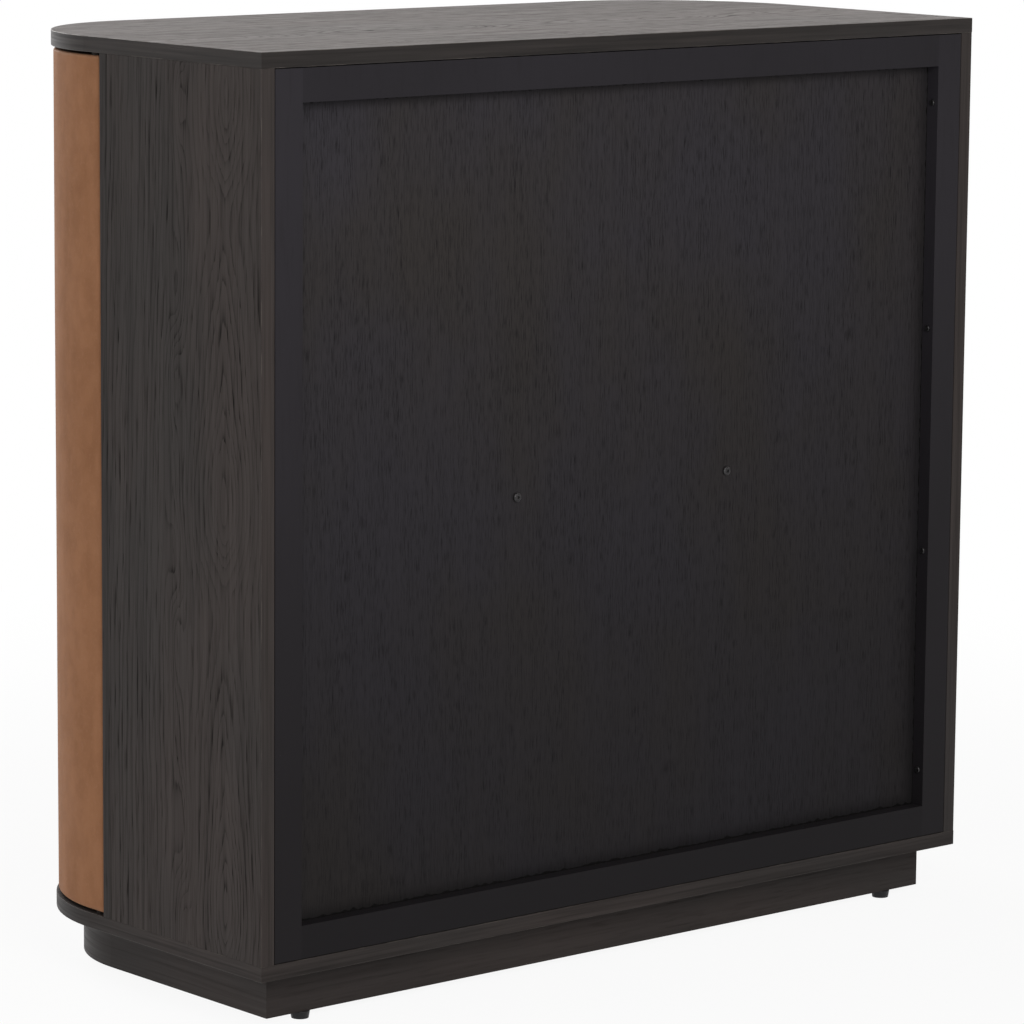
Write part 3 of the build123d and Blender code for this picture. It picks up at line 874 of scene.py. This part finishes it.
def bead_rows(start, end, inwards, narrow, wide):
    """Rows across a bead that runs from start to end and reaches inwards over the panel."""
    span = end - start
    count = int(span.length / BEAD_STEP)
    waves = [[random.uniform(*limits) for limits in WAVE_LIMITS] for _ in range(WAVES)]
    rows = []
    for i in range(count + 1):
        along = span.length * i / count
        wander = sum(size * math.sin(pitch * along + phase) for pitch, phase, size in waves) / 8
        width = narrow + (wide - narrow) * min(max(0.5 + wander, 0.0), 1.0) ** 1.5
        foot = start + span * i / count
        out = Vector((0, 1, 0))
        crest = out * BEAD_LIFT * (0.5 + 0.5 * width / wide)
        on_frame = foot + crest - inwards * 0.05 * MM
        on_slope = foot + crest * 0.45 + inwards * width * 0.35
        on_panel = foot + out * 0.04 * MM + inwards * width
        rows.append([foot, on_frame, on_slope, on_panel, foot])
    return [[rows[0][0]] * 5, *rows, [rows[-1][0]] * 5]


print("beads have a row every", BEAD_STEP / MM, "mm")

# %% [markdown]
# ## Dried glue round the recess: the four sides
#
# The low bead is the widest, as glue runs down before it sets. All four ride the case and are dull and
# black.

# %% Lay the beads
glue = dark_small_part("dried_glue", colour(17, 16, 16), colour(9, 9, 9), 0.0, 0.6, 0.05)
low_left = Vector((-opening_x, panel_back, recess_low))
low_right = Vector((opening_x, panel_back, recess_low))
high_left = Vector((-opening_x, panel_back, recess_high))
high_right = Vector((opening_x, panel_back, recess_high))
beads = {
    "glue_bead_low": (low_left, low_right, Vector((0, 0, 1)), 0.8 * MM, 4.5 * MM),
    "glue_bead_high": (high_left, high_right, Vector((0, 0, -1)), 0.4 * MM, 3.2 * MM),
    "glue_bead_left": (low_left, high_left, Vector((1, 0, 0)), 0.3 * MM, 2.2 * MM),
    "glue_bead_right": (low_right, high_right, Vector((-1, 0, 0)), 0.3 * MM, 2.0 * MM),
}
for name, course in beads.items():
    bead = sweep(name, bead_rows(*course))
    bead.data.materials.append(glue)
    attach(bead, "case")
    print(name, len(bead.data.polygons), "faces")

# %% [markdown]
# ## The white room
#
# The cabinet stands in a white room. The world gives an even, slightly warm fill, but the rays that should
# see the room itself get plain white instead: those from the camera, those off a glossy surface, and those
# that went through glass. The Light Path node tells them apart.

# %% The world
FILL = 0.22
FILL_TINT = (1.0, 0.955, 0.935, 1.0)
WHITE = (1.0, 1.0, 1.0, 1.0)


def white_rays(finish):
    """1 for the rays that should see plain white."""
    camera, glossy, clear = [
        finish.node("ShaderNodeLightPath", output=kind)
        for kind in ("Is Camera Ray", "Is Glossy Ray", "Is Transmission Ray")
    ]
    return camera.largest(glossy).largest(clear)


studio = Finish("studio", bpy.data.worlds)
seen_by_camera = studio.node("ShaderNodeLightPath", output="Is Camera Ray")
room = {
    "Color": studio.mix(seen_by_camera, FILL_TINT, WHITE),
    "Strength": white_rays(studio) * (1 - FILL) + FILL,
}
studio.node("ShaderNodeOutputWorld", inputs={"Surface": studio.node("ShaderNodeBackground", inputs=room)})
bpy.context.scene.world = studio.owner
print("world fill", FILL)

# %% [markdown]
# ## The floor
#
# The floor is pale and matt. Where a ray should see white, most of what it sees is a white glow, and a
# little is the lit floor, so the cabinet keeps a soft shadow. Further out the glow takes over, and there is
# no horizon.

# %% A pale floor
FLOOR_REACH = 60.0
pale = Finish("pale_floor")
place = pale.parts(pale.point())
far = ((place["x"] * place["x"] + place["y"] * place["y"]) ** 0.5).rise(0.8, 2.4)
tint = pale.mix(pale.noise((3, 3, 0)), colour(240, 240, 240), colour(236, 236, 236))
matt = pale.node("ShaderNodeBsdfDiffuse", inputs={"Color": tint})
glow = pale.node("ShaderNodeEmission", inputs={"Color": WHITE, "Strength": 1.0})
share = white_rays(pale) * (far * 0.08 + 0.92)
blend = pale.node("ShaderNodeMixShader", inputs={0: share, 1: matt, 2: glow})
pale.node("ShaderNodeOutputMaterial", inputs={"Surface": blend})

edges = (-FLOOR_REACH, FLOOR_REACH)
floor = sweep("floor", [[(x, y, 0.0) for x in edges] for y in edges])
floor.data.materials.append(pale.owner)
floor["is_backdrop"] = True
print("floor", 2 * FLOOR_REACH, "m wide")

# %% [markdown]
# ## The lamps
#
# A dark, satin object needs broad, soft light, as a small lamp would leave a hot spot on it. One panel
# hangs behind the cabinet and lights its open back from above, one stands beside it and is weaker, so the
# corner between back and side stays clear, and one lights the front. Their power is plain: a colour comes
# out about as it is written.

# %% Three soft panels
def lamp(name, place, aim, size, power):
    """A square soft panel that shines from a place towards a point."""
    data = bpy.data.lights.new(name, "AREA")
    data.shape = "SQUARE"
    data.size = size
    data.energy = power
    made = bpy.data.objects.new(name, data)
    made.location = place
    made.rotation_euler = (Vector(aim) - Vector(place)).to_track_quat("-Z", "Y").to_euler()
    bpy.context.scene.collection.objects.link(made)
    print(name, power, "W from", place)


lamp("behind", (0.9, 2.5, 1.7), (0.1, cad_high.y, 0.6), 1.6, 46)
lamp("beside", (3.4, -0.5, 1.1), (cad_high.x, 0.0, 0.4), 2.2, 27)
lamp("front", (0.2, -3.4, 2.4), (0.0, cad_low.y, 0.55), 2.0, 80)

# %% [markdown]
# ## The camera
#
# The camera stands behind the cabinet, out past its right-hand corner and a little above the top, and looks
# down at the middle of it. A long lens from far off keeps the uprights nearly parallel. A camera starts out
# looking straight down, so it is tipped up to the tilt first and then turned to the heading. It has no
# shift: the same lens serves every other view, and there the cabinet should sit in the middle too.

# %% Camera
CAMERA_PLACE = Vector((3.830, 4.522, 1.472))
HEADING = math.radians(139.378)
TILT = math.radians(9.263)
ROLL = math.radians(0.483)
LENS = 173.61
tipped = Matrix.Rotation(math.radians(90) - TILT, 4, "X") @ Matrix.Rotation(ROLL, 4, "Z")
camera = bpy.data.objects.new("camera", bpy.data.cameras.new("camera"))
camera.data.sensor_width = 36
camera.data.lens = LENS
camera.matrix_world = Matrix.Translation(CAMERA_PLACE) @ Matrix.Rotation(HEADING, 4, "Z") @ tipped
bpy.context.scene.collection.objects.link(camera)
bpy.context.scene.camera = camera
bpy.context.scene.view_settings.view_transform = "Standard"
print("camera at", tuple(round(value, 2) for value in CAMERA_PLACE))

# %% [markdown]
# ## Check the size and finish
#
# The looks must not outgrow the model.

# %% Sizes and finish
low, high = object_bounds()
print("grown by", [round(value / MM, 2) for value in (*(cad_low - low), *(high - cad_high))], "mm")
